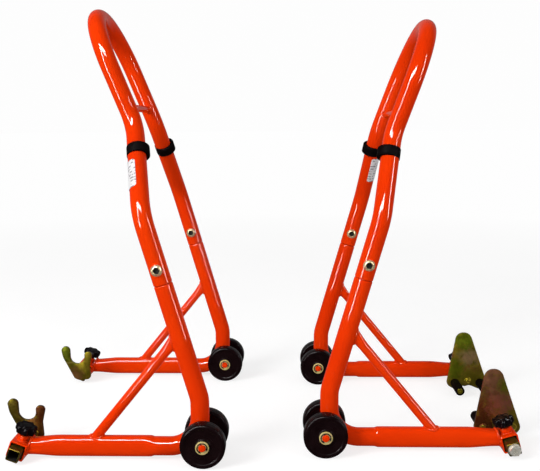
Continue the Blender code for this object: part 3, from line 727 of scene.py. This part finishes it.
def side_tube_mesh(stand, side):
    y = stand.side_y(side)
    corners = [
        stand.at(upright_x(SEAM_Z), y, SEAM_Z),
        stand.at(BEND_X, y, BEND_TOP_Z),
        stand.at(BEND_X, y, ARM_Z),
        stand.at(0.074, y, ARM_Z),
    ]
    bend = filleted(corners, (0.06, BEND_R), radians(3))
    stops = [0.078, 0.081, 0.084] + [0.0855 + 0.0007 * k for k in range(11)] + [0.096, 0.1, 0.104, 0.108]
    stops += [0.125, 0.15, 0.18, 0.21, 0.235] + [0.245 + 0.004 * k for k in range(13)] + [0.3]
    route = dense(bend + [stand.at(x, y, ARM_Z) for x in stops])

    def section(point, inset):
        x = stand.sign * point.x - stand.hub_x
        if point.z > ARM_Z + 0.001 or x < 0.07:
            return round_tube(inset)
        tall = between(ARM_HEIGHT, x)[0] - inset
        wide, power = between(ARM_WIDTH, x)
        dent = between(CREASE, x)[0]
        ring = []
        for a, b in oval(wide - inset, tall, power, TUBE_SIDES):
            crease = copysign(dent, a) * exp(-((b / 0.0042) ** 2))
            ring.append((a - crease * (abs(a) > 0.5 * wide), b))
        return ring

    outside = swept(route, lambda i: section(route[i], 0), ACROSS)
    inside = swept(route, lambda i: section(route[i], TUBE_WALL), ACROSS)
    top = []
    down = (route[1] - route[0]).normalized()
    for away, inset in LIP[:-1]:
        place = [route[0] + down * away, route[1]]
        top.append(swept(place, lambda i: section(route[0], inset), ACROSS)[0])
    outside[0] = [point + down * LIP[-1][0] for point in outside[0]]
    face = -SOCKET_SIDE / 2 - GAP
    for rings in (outside, inside):
        trimmed = []
        for point in rings[-1]:
            x = SOCKET_X + (face - (point.z - stand.pivot_z) * sin(stand.tilt)) / cos(stand.tilt)
            trimmed.append(Vector((stand.at(x, 0, 0).x, point.y, point.z)))
        rings[-1] = trimmed
    return skin(top + outside + inside[::-1], closed=True), outside[-1]


def brace_mesh(stand, side):
    y = stand.side_y(side)
    foot, head = (stand.at(x, y, z) for x, z in (BRACE_FOOT, BRACE_HEAD))
    run = (head - foot).normalized()
    length = (head - foot).length
    pinch = [length + PINCH_LENGTH * (0.1 * k - 1.3) for k in range(13)]
    route = [foot + run * stop for stop in (0.01, 0.06, *pinch, length - 0.006)]

    def section(point):
        share = eased(max(0, 1 - (length - (point - foot).dot(run)) / PINCH_LENGTH))
        wide, tall = (BRACE_R * (1 + (size - 1) * share) for size in (PINCH_FLATTEN, PINCH_WIDEN))
        return oval(wide, tall, 2 + share, 28)

    return skin(swept(route, lambda i: section(route[i]), ACROSS)), foot, head, run


# ---- pieces of one stand


def painted(stand, part, mesh):
    """A piece of the painted frame, in place of the CAD node it is named after."""
    node = f"{stand.name}_{part}"
    add(f"{node}.skin", mesh, paint, stand.frame, [node])


def welded(stand, part, loop, radius, seed):
    add(f"{stand.name}_{part}", bead(loop, radius, seed), weld, stand.frame)


def meeting(tree, base, ahead, wide, thin):
    """Where a bar of oval section, pushed along ahead, meets a surface."""
    hits = [tree.ray_cast(start, ahead)[0] for start in circle(base, wide, thin, 1, 40)]
    return [hit for hit in hits if hit is not None]


def side_frame(stand, side):
    y = stand.side_y(side)
    mesh, arm_end = side_tube_mesh(stand, side)
    surface = tree_of(mesh)
    painted(stand, f"side_tube_{side}", mesh)
    hub = stand.at(0, y, WHEEL_R)
    sleeve = pipe(PIN_R + GAP, SLEEVE_R, 2 * SLEEVE_HALF, 0.0008, hub - ACROSS * SLEEVE_HALF, ACROSS, 48)
    add(f"{stand.name}_axle_sleeve_{side}.skin", sleeve, paint, stand.frame)
    for outward, end in ((1, "b"), (-1, "a")):
        loop = []
        for start in circle(hub + ACROSS * (outward * 0.03), FORE, UP, SLEEVE_R + PROUD, 40):
            hit = surface.ray_cast(start, ACROSS * -outward, 0.03)[0]
            loop.append(hit if hit is not None else start - ACROSS * (outward * 0.026))
        welded(stand, f"sleeve_weld_{side}_{end}", loop, 0.0014, 3)

    mesh, foot, head, run = brace_mesh(stand, side)
    across = run.cross(ACROSS)
    painted(stand, f"brace_{side}", mesh)
    wide, thin = across * (BRACE_R + 0.0006), ACROSS * (BRACE_R + 0.0002)
    loop = meeting(surface, foot + run * 0.06, -run, wide, thin)
    welded(stand, f"brace_foot_weld_{side}", loop, 0.0021, 5)
    wide, thin = across * (BRACE_R * PINCH_WIDEN), ACROSS * (BRACE_R * PINCH_FLATTEN)
    loop = meeting(surface, head - run * 0.05, run, wide, thin)
    welded(stand, f"brace_head_weld_{side}", loop, 0.002, 7)
    middle = sum(arm_end, Vector()) / len(arm_end)
    loop = [point + (point - middle).normalized() * PROUD for point in arm_end]
    welded(stand, f"socket_weld_{side}", loop, 0.0019, 9)


def handle(stand):
    half = handle_corners(stand)
    left = [stand.at(x, y, z) for x, y, z in half]
    right = [stand.at(x, -y, z) for x, y, z in reversed(half)]
    loop_r = stand.loop_half - 0.002
    radii = (TOP_BEND_R, TOP_BEND_R, loop_r, loop_r, TOP_BEND_R, TOP_BEND_R)
    route = filleted(left + right, radii, radians(2.5))
    route[0] += (route[1] - route[0]).normalized() * GAP
    route[-1] += (route[-2] - route[-1]).normalized() * GAP
    lipped, insets = with_lips(dense(route))
    outside = swept(lipped, lambda i: round_tube(insets[i]))
    inside = swept(lipped, lambda i: round_tube(TUBE_WALL))
    mesh = skin(outside + inside[::-1], closed=True)
    surface = tree_of(mesh)
    painted(stand, "handle_tube", mesh)
    middle = stand.at(half[2][0] + stand.loop_lean * (stand.bar_z - stand.upper), 0, stand.bar_z)
    reach = stand.loop_half - TUBE_R + 0.0012
    bar = lathe(((0, -reach), (BAR_R, -reach), (BAR_R, reach), (0, reach)), middle, ACROSS, 28)
    painted(stand, "handle_cross_bar", bar)
    wide, thin = FORE * (BAR_R + PROUD), UP * (BAR_R + PROUD)
    for outward, end in ((1, "a"), (-1, "b")):
        welded(stand, f"bar_weld_{end}", meeting(surface, middle, ACROSS * outward, wide, thin), 0.0014, 11)


def joint(stand, side):
    """The spigot inside the plug joint, and its bolt and nut."""
    body = stand.frame
    y = stand.side_y(side)
    run = Vector((stand.sign * LEAN, 0, 1)).normalized()
    start = stand.at(upright_x(SEAM_Z), y, SEAM_Z) - run * SPIGOT_HALF
    mesh = pipe(SPIGOT_R - SPIGOT_WALL, SPIGOT_R, 2 * SPIGOT_HALF, 0.0006, start, run, 40)
    node = f"{stand.name}_spigot_{side}"
    add(f"{node}.skin", mesh, steel, body, [node])
    node = f"{stand.name}_joint_bolt_{side}"
    face = TUBE_R + GAP
    seat = stand.at(upright_x(BOLT_Z), y - face + SINK, BOLT_Z)
    rise = BOLT_HEAD_HEIGHT
    rings = [[seat]]
    dome = ((0.93, 0.52), (0.82, 0.72), (0.74, 0.86), (0.67, 0.95))
    for size, height in ((0.97, 0), (1, 0.0009), (0.985, 0.0018), *((r, rise * h) for r, h in dome)):
        rings.append(circle(seat - ACROSS * height, FORE, UP, BOLT_HEAD_R * size, HEX_SIDES))
    for size, height in ((0.0063, 0.955), (0.0058, 0.86), (0.0056, 0.22)):
        rings.append(hexagon(seat - ACROSS * (rise * height), FORE, UP, size))
    rings.append([seat - ACROSS * (rise * 0.12)])
    mesh = skin(rings, sharp=35)
    add(f"{node}.head", mesh, bolt_zinc, body, [node])
    # The deep part of the hex recess takes the near-black painted shade.
    mesh.materials.append(bare_bore)
    for polygon in mesh.polygons:
        polygon.material_index = int(polygon.index // HEX_SIDES >= len(rings) - 3)
    tip = 2 * face + NUT_HEIGHT + 0.002
    shank = [(0, -SINK), (BOLT_R, -SINK), (BOLT_R, 2 * face)]
    for k in range(9, 0, -1):
        shank += [(BOLT_R, tip - 0.0011 * k), (BOLT_R * 0.88, tip - 0.0011 * k + 0.00055)]
    add(f"{node}.shank", lathe([*shank, (0, tip)], seat, ACROSS, 24), silver, body)
    nut_seat = seat + ACROSS * (2 * (face - SINK))
    nut = hex_head(nut_seat, ACROSS, NUT_R, NUT_HEIGHT, 0.0008)
    add(f"{node}.nut", nut, zinc, body)


def band(stand, side):
    """A rubber band round the leg, thicker at its back, with rounded edges and faint ribs."""
    lower, upper = jog_axis(stand, side)
    middle = lower.lerp(upper, stand.band_share)
    run = (upper - lower).normalized()
    back = squared(FORE * -stand.sign, run)
    across = run.cross(back)
    inner = TUBE_R + GAP
    rings = []
    for share, size in (*((-share, size) for share, size in reversed(BAND_END)), *BAND_END):

        def reach(angle):
            return inner + size * max(BAND_OUTER_R - inner + BAND_SHIFT * cos(angle), 0.0009)

        rings.append(ring_of(middle + run * (share * BAND_HALF), back, across, BAND_SIDES, reach))
    for share in (0.98, -0.98):
        rings.append(circle(middle + run * (share * BAND_HALF), back, across, inner, BAND_SIDES))
    node = f"{stand.name}_bumper_band_{side}"
    add(f"{node}.skin", skin(rings, closed=True), band_black, stand.frame, [node])


def label(stand):
    lower, upper = jog_axis(stand, "left")
    run = (upper - lower).normalized()
    start = lower.lerp(upper, stand.band_share) - run * (stand.label_drop + LABEL_LENGTH)
    near = squared(-ACROSS, run)
    arm_side = near.cross(run)
    if arm_side.x * stand.sign < 0:
        arm_side = -arm_side
    columns, rows = 18, 24
    corner = 0.004
    half_arc = TUBE_R * LABEL_ARC / 2

    def point(across, height, lift):
        angle = LABEL_TURN + across / TUBE_R
        outward = near * cos(angle) + arm_side * sin(angle)
        return start + run * height + outward * (TUBE_R + lift)

    shape = bmesh.new()
    grid = {}
    for layer, lift in enumerate((GAP * 0.4, GAP + 0.0002)):
        for i in range(rows + 1):
            height = LABEL_LENGTH * i / rows
            cut = max(0, corner - min(height, LABEL_LENGTH - height))
            half = half_arc - (corner - sqrt(max(0, corner * corner - cut * cut)))
            for j in range(columns + 1):
                grid[layer, i, j] = shape.verts.new(point(half * (2 * j / columns - 1), height, lift))
    for layer in (0, 1):
        for i in range(rows):
            for j in range(columns):
                square = ((i, j), (i, j + 1), (i + 1, j + 1), (i + 1, j))
                shape.faces.new([grid[layer, a, b] for a, b in square])
    rim = [(0, j) for j in range(columns)] + [(i, columns) for i in range(rows)]
    rim += [(rows, j) for j in range(columns, 0, -1)] + [(i, 0) for i in range(rows, 0, -1)]
    for a, b in zip(rim, rim[1:] + rim[:1]):
        shape.faces.new((grid[0, *a], grid[0, *b], grid[1, *b], grid[1, *a]))
    mesh = settled(shape, "label", 40)
    node = f"{stand.name}_label"
    add(f"{node}.sheet", mesh, paper(tuple(run), (1, 1, 0.25)), stand.frame, [node])


def wheel(stand, side, place):
    direction = stand.outward(side) * (1 if place == "outer" else -1)
    seam = ((0, 0.0006), (0.00012, 0), (0, -0.0006))
    profile = [(r, WHEEL_WIDTH - h) for r, h in WHEEL_FACE]
    profile += [(WHEEL_R + r, WHEEL_WIDTH / 2 + h) for r, h in seam] + list(reversed(WHEEL_FACE))
    y = stand.side_y(side) + direction * WHEEL_INNER
    mesh = lathe(profile, stand.at(0, y, WHEEL_R), ACROSS * direction, 88, closed=True)
    node = f"{stand.name}_wheel_{side}_{place}"
    add(f"{node}.skin", mesh, wheel_black, f"{node}_body", [node])


def clip_mesh(middle, ahead):
    """A flat spring clip: most of a ring with three teeth, open on one side."""
    opening = Vector((0.35, 0, -1)).normalized()
    across = ahead.cross(opening).normalized()
    rings = []
    half_gap = radians(38)
    count = 44
    for step in range(count + 1):
        angle = half_gap + (tau - 2 * half_gap) * step / count
        direction = opening * cos(angle) + across * sin(angle)
        tooth = max(cos(3 * (angle - pi)), 0) ** 6
        inner = PIN_R + 0.0016 - 0.0019 * tooth
        outer = CLIP_R - 0.0004 * (abs(step - count / 2) > count / 2 - 2)
        corners = ((inner, 0), (outer, 0), (outer, CLIP_WIDTH), (inner, CLIP_WIDTH))
        rings.append([middle + direction * reach + ahead * rise for reach, rise in corners])
    return skin(rings, sharp=35)


def axle(stand, side):
    node = f"{stand.name}_axle_pin_{side}"
    body = stand.frame
    hub = stand.at(0, stand.side_y(side), WHEEL_R)
    end = ((PIN_R, 0.0013), (PIN_R - 0.0004, 0.0004), (PIN_R - 0.0014, 0), (0, 0))
    profile = [(r, away - PIN_HALF) for r, away in reversed(end)] + [(r, PIN_HALF - away) for r, away in end]
    add(f"{node}.pin", lathe(profile, hub, ACROSS, 40), paint, body, [node])
    for outward, end in ((1, "b"), (-1, "a")):
        ahead = ACROSS * outward
        seat = hub + ahead * (WHEEL_INNER + WHEEL_WIDTH + GAP)
        washer = pipe(PIN_R + 0.0001, WASHER_R, WASHER_WIDTH, 0.0004, seat, ahead, 56)
        add(f"{node}.washer_{end}", washer, washer_zinc, body)
        clip = clip_mesh(seat + ahead * (WASHER_WIDTH + 0.0001), ahead)
        add(f"{node}.clip_{end}", clip, steel, body)


def knob(stand, side):
    node = f"{stand.name}_knob_{side}"
    body = f"{node}_body"
    base = stand.socket(0, stand.side_y(side), KNOB_BASE)
    ahead, across = stand.up, stand.along
    up = ahead.cross(across)
    rings = [[base]]
    for size, rise, lobed in KNOB_FORM:

        def reach(angle):
            wave = (1 - cos(KNOB_LOBES * angle)) / 2
            return KNOB_R * size * (1 - 0.27 * lobed * wave**1.5)

        rings.append(ring_of(base + ahead * (KNOB_HEIGHT * rise), across, up, KNOB_LOBES * 14, reach))
    rings.append([base + ahead * KNOB_HEIGHT])
    add(f"{node}.star", skin(rings, sharp=45), knob_black, body, [node])
    neck = ((0, -1), (0.92, -1), (1, -0.75))
    neck = [(KNOB_NECK_R * r, KNOB_NECK * h) for r, h in neck] + [(KNOB_NECK_R, 0.001), (0, 0.001)]
    add(f"{node}.neck", lathe(neck, base, ahead, 36), knob_black, body)
    tip = SLIDER_SIDE / 2 - SLIDER_DROP + GAP - KNOB_BASE
    thread = [(0, tip), (STUD_R * 0.75, tip)]
    for k in range(int((-KNOB_NECK - tip - 0.001) / THREAD_PITCH)):
        root = tip + 0.0006 + k * THREAD_PITCH
        thread += [(STUD_R, root), (STUD_R * 0.84, root + 0.5 * THREAD_PITCH)]
    thread += [(STUD_R * 0.9, -KNOB_NECK * 0.5), (0, -KNOB_NECK * 0.5)]
    add(f"{node}.stud", lathe(thread, base, ahead, 24), zinc, body)


def end_of_arm(stand, side):
    ends = (SOCKET_OUTBOARD, SOCKET_INBOARD)
    mesh = square_tube(stand, side, ends, 0, SOCKET_SIDE / 2, SOCKET_BORE / 2, 0.003)
    painted(stand, f"socket_{side}", mesh)
    # The socket's bore takes the near-black painted shade.
    mesh.materials.append(bare_bore)
    top = stand.socket(0, stand.side_y(side), SOCKET_SIDE / 2 - SINK)
    nut = hex_head(top, stand.up, CLAMP_NUT_R, CLAMP_NUT_HEIGHT, 0.0006)
    add(f"{stand.name}_clamp_nut_{side}", nut, paint, stand.frame)
    loop = circle(top + stand.up * 0.0006, stand.along, ACROSS, CLAMP_NUT_R * 0.95, 48)
    welded(stand, f"clamp_nut_weld_{side}", loop, 0.0011, 13)
    outer = SLIDER_SIDE / 2
    ends = (stand.slider_outboard, stand.slider_inboard)
    mesh = square_tube(stand, side, ends, SLIDER_DROP, outer, outer - SLIDER_WALL, 0.0026)
    node = f"{stand.name}_slider_{side}"
    add(f"{node}.skin", mesh, bronze_zinc, f"{node}_body", [node])
    # The slider's bore takes the near-black painted shade.
    mesh.materials.append(bare_bore)


def plate(stand, part, centre, outline, body):
    """A zinc plate with its own tints. Its finish is given back."""
    tints = [(centre + Vector((x, 0, z)), radius, tint) for x, z, radius, tint in TINTS[part]]
    look = yellow_zinc(f"yellow_zinc_{part}", tints)
    mesh = slab([(stand.sign * x, z, radius) for x, z, radius in outline], centre)
    node = f"{stand.name}_{part}"
    add(f"{node}.plate", mesh, look, body, [node])
    return look


def hook(stand, side):
    """A hook plate and the weld round the slider where the two meet."""
    body = f"rear_slider_{side}_body"
    plate(stand, f"hook_{side}", stand.slider_middle(side, PLATE_Y), HOOK_OUTLINE, body)
    middle = stand.slider_middle(side, PLATE_Y - PLATE_THICK / 2 - 0.0006)
    loop = square_ring(stand, middle, SLIDER_SIDE / 2 + PROUD, 0.003, steps=6)
    add(f"rear_hook_{side}.weld", bead(loop, 0.0014, 15), zinc, body)


def fork_plate(stand, side):
    """A fork plate, its two pins, and the rubber sleeves on them."""
    body = f"front_fork_plate_{side}_body"
    ahead = ACROSS * -stand.outward(side)
    centre = stand.slider_middle(side, FORK_PLATE_Y)
    look = plate(stand, f"fork_plate_{side}", centre, FORK_OUTLINE, body)
    length = PLATE_THICK + FORK_PIN_LENGTH
    profile = (
        (0, -0.0008), (FORK_PIN_R * 0.86, -0.0008), (FORK_PIN_R, -0.0001),
        (FORK_PIN_R, length - 0.0008), (FORK_PIN_R - 0.0008, length), (FORK_PIN_R * 0.3, length),
        (FORK_PIN_R * 0.16, length - 0.0009), (0, length - 0.0011),
    )
    for end, (x, z) in FORK_PIN_PLACES.items():
        node = f"front_fork_plate_{side}.pin"
        start = centre + Vector((x, 0, z)) - ahead * (PLATE_THICK / 2)
        add(f"{node}_{end}", lathe(profile, start, ahead, 36), zinc, body)
        loop = circle(start - ahead * 0.0001, FORE, UP, FORK_PIN_R + 0.0006, 36)
        add(f"{node}_weld_{end}", bead(loop, 0.0012, 17), look, body)
        reach = FORK_PIN_LENGTH - GAP - 0.0004
        seat = start + ahead * (PLATE_THICK + GAP)
        mesh = pipe(FORK_PIN_R + 0.0001, FORK_SLEEVE_R, reach, 0.0014, seat, ahead, 44)
        sleeve = f"front_fork_sleeve_{side}_{end}"
        add(f"{sleeve}.skin", mesh, band_black, body, [sleeve])


def pivot(stand, side):
    """The pivot bolt, its head and washer outside the slider, its tail peened over inside the plate."""
    node = f"front_pivot_bolt_{side}"
    body = f"front_slider_{side}_body"
    ahead = ACROSS * -stand.outward(side)
    end = stand.slider_middle(side, -stand.slider_outboard - GAP)
    washer = pipe(PIVOT_R, PIVOT_HEAD_R, PIVOT_WASHER, 0.0004, end, -ahead, 44)
    add(f"{node}.washer", washer, silver, body)
    seat, height = end - ahead * PIVOT_WASHER, PIVOT_HEAD_HEIGHT - PIVOT_WASHER
    head = hex_head(seat, -ahead, PIVOT_HEAD_R * 0.93, height, 0.0005, 0.3)
    add(f"{node}.head", head, silver, body, [node])
    length = stand.slider_outboard + GAP + FORK_PLATE_Y + PLATE_THICK / 2
    shank = ((0, 0), (PIVOT_R, 0), (PIVOT_R, length), (0, length))
    add(f"{node}.shank", lathe(shank, end, ahead, 32), zinc, body)
    dome = ((0.68, 0.75), (0.56, 0.94), (0.3, 1), (0.22, 0.8), (0, 0.76))
    cap = [(0, 0), (1, 0), (1, 0.0006), (0.93, 0.0011), (0.74, 0.0012)]
    cap = [(PIVOT_CAP_R * r, h) for r, h in cap + [(r, PIVOT_CAP_WIDTH * h) for r, h in dome]]
    cap_start = stand.slider_middle(side, FORK_PLATE_Y + PLATE_THICK / 2 + 0.0001)
    add(f"{node}.tail", lathe(cap, cap_start, ahead, 44), zinc, body)


for stand in (REAR, FRONT):
    handle(stand)
    label(stand)
    for side in SIDES:
        side_frame(stand, side)
        joint(stand, side)
        band(stand, side)
        wheel(stand, side, "outer")
        wheel(stand, side, "inner")
        axle(stand, side)
        knob(stand, side)
        end_of_arm(stand, side)
for side in SIDES:
    hook(REAR, side)
for side in SIDES:
    fork_plate(FRONT, side)
    pivot(FRONT, side)

# ---- floor, light and camera


def area_light(name, place, size, power, gloss, target=(0, 0, 0.35)):
    """A softbox that is either seen in the gloss or lights the colour, but not both."""
    light = bpy.data.lights.new(name, "AREA")
    light.shape = "RECTANGLE"
    light.size, light.size_y = size
    light.energy = power
    obj = placed(name, light)
    obj.location = place
    obj.rotation_euler = (Vector(target) - Vector(place)).to_track_quat("-Z", "Y").to_euler()
    obj.visible_glossy = gloss
    obj.visible_diffuse = not gloss


def floor_finish():
    """Matt white near the stands, fading into a glowing white horizon."""
    f = Finish("pale_floor", Specular_IOR_Level=0.05, Emission_Strength=1)
    away = f.node("VectorMath", {0: f.place}, operation="LENGTH")["Value"]
    far = f.spread(away, 1.1, 3.4)
    near = f.ramp(f.noise(3), ((0.3, (0.29,) * 3), (0.7, (0.31,) * 3)))
    f.colour(f.mix(far, near, (0,) * 3))
    f.link(f.mix(far, (0.76,) * 3, (0.985,) * 3), f.shader.inputs["Emission Color"])
    f.roughness(f.spread(f.noise(20), 0.3, 0.7, 0.85, 0.95))
    return f.material


def studio():
    shape = bmesh.new()
    bmesh.ops.create_circle(shape, cap_ends=True, segments=96, radius=60)
    mesh = bpy.data.meshes.new("floor")
    shape.to_mesh(mesh)
    shape.free()
    floor = placed("floor", mesh)
    floor.location = (0, 0, -0.0005)
    floor.visible_glossy = False
    floor.visible_diffuse = False
    mesh.materials.append(floor_finish())

    world = bpy.data.worlds.new("studio")
    bpy.context.scene.world = world
    world.use_nodes = True
    g = Graph(world.node_tree)
    background = g.tree.nodes["Background"]
    background.inputs["Color"].default_value = (1, 1, 1, 1)
    depth = g.node("SeparateXYZ", {0: g.node("TexCoord", {})["Generated"]})["Y"]
    limits = {"From Min": 0.45, "From Max": 0.95, "To Min": 0.035, "To Max": 0.26}
    around = g.node("MapRange", {**limits, "Value": depth})["Result"]
    ray = g.node("LightPath", {})
    diffuse = {"To Min": around, "To Max": 0.4, "Value": ray["Is Diffuse Ray"]}
    seen = {"To Min": g.node("MapRange", diffuse)["Result"], "To Max": 0.985, "Value": ray["Is Camera Ray"]}
    g.link(g.node("MapRange", seen)["Result"], background.inputs["Strength"])

    area_light("streak", (-1.7, -2, 1.3), (0.22, 2.4), 90, gloss=True)
    area_light("streak_right", (2.3, -0.9, 1.1), (0.16, 1.6), 36, gloss=True)
    area_light("overhead", (-0.75, -1.7, 2), (1.5, 0.5), 95, gloss=True, target=(-0.3, 0, 0.1))
    area_light("soft_key", (-2.3, -2, 1.9), (1.4, 1.4), 104, gloss=False)
    area_light("soft_fill", (2.4, -2, 1), (1.4, 1.4), 28, gloss=False)
    bpy.context.scene.view_settings.view_transform = "Standard"


def camera():
    yaw, pitch, roll = 0.0273225, 0.1435194, -0.0062547
    focal, photo_wide, sensor = 770.6, 540, 36
    ahead = Vector((-sin(yaw) * cos(pitch), cos(yaw) * cos(pitch), -sin(pitch)))
    level = Vector((cos(yaw), sin(yaw), 0))
    upright = level.cross(ahead)
    right = level * cos(roll) + upright * sin(roll)
    up = upright * cos(roll) - level * sin(roll)
    data = bpy.data.cameras.new("camera")
    data.sensor_width = sensor
    data.lens = focal / photo_wide * sensor
    obj = placed("camera", data)
    turn = Matrix((right, up, -ahead)).transposed()
    obj.matrix_world = Matrix.Translation((0.0438, -1.4641, 0.5637)) @ turn.to_4x4()
    bpy.context.scene.camera = obj


studio()
camera()
